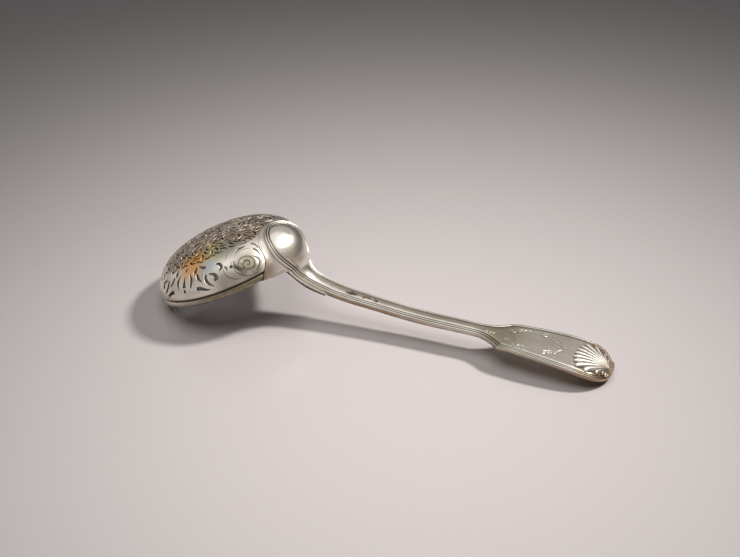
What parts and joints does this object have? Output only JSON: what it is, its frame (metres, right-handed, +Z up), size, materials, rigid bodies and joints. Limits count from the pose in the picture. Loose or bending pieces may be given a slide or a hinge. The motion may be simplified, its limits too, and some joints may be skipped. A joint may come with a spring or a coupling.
{
  "type": "sifter spoon",
  "caption": "Sifter spoon with a pierced round bowl, moulded lip, flared neck and threaded fiddle handle that ends in fluted shells, for dusting sugar.",
  "frame": {"origin": "on the table, in the middle of the spoon's bounding box seen from above, with the spoon lying bowl downwards on its lip and its handle's tip", "axes": "+X runs from the bowl to the handle's tip, +Z is up from the table, and the plane Y = 0 is the spoon's plane of symmetry"},
  "size_m": [0.2122, 0.0698, 0.0408],
  "materials": {
    "bowl": "pierced and engraved silver, polished and tarnished",
    "rim_band": "polished silver, worn and tarnished",
    "neck_saddle": "polished silver with faint heat tints",
    "handle": "polished silver with fine wear and dark grooves",
    "shell_back": "polished silver relief with brown tarnish at the tip",
    "shell_front": "polished silver relief"
  },
  "bodies": {
    "root": {"bowl": "bowl", "rim_band": "rim_band", "neck_saddle": "neck_saddle", "handle": "handle", "shell_back": "shell_back", "shell_front": "shell_front"}
  },
  "joints": []
}
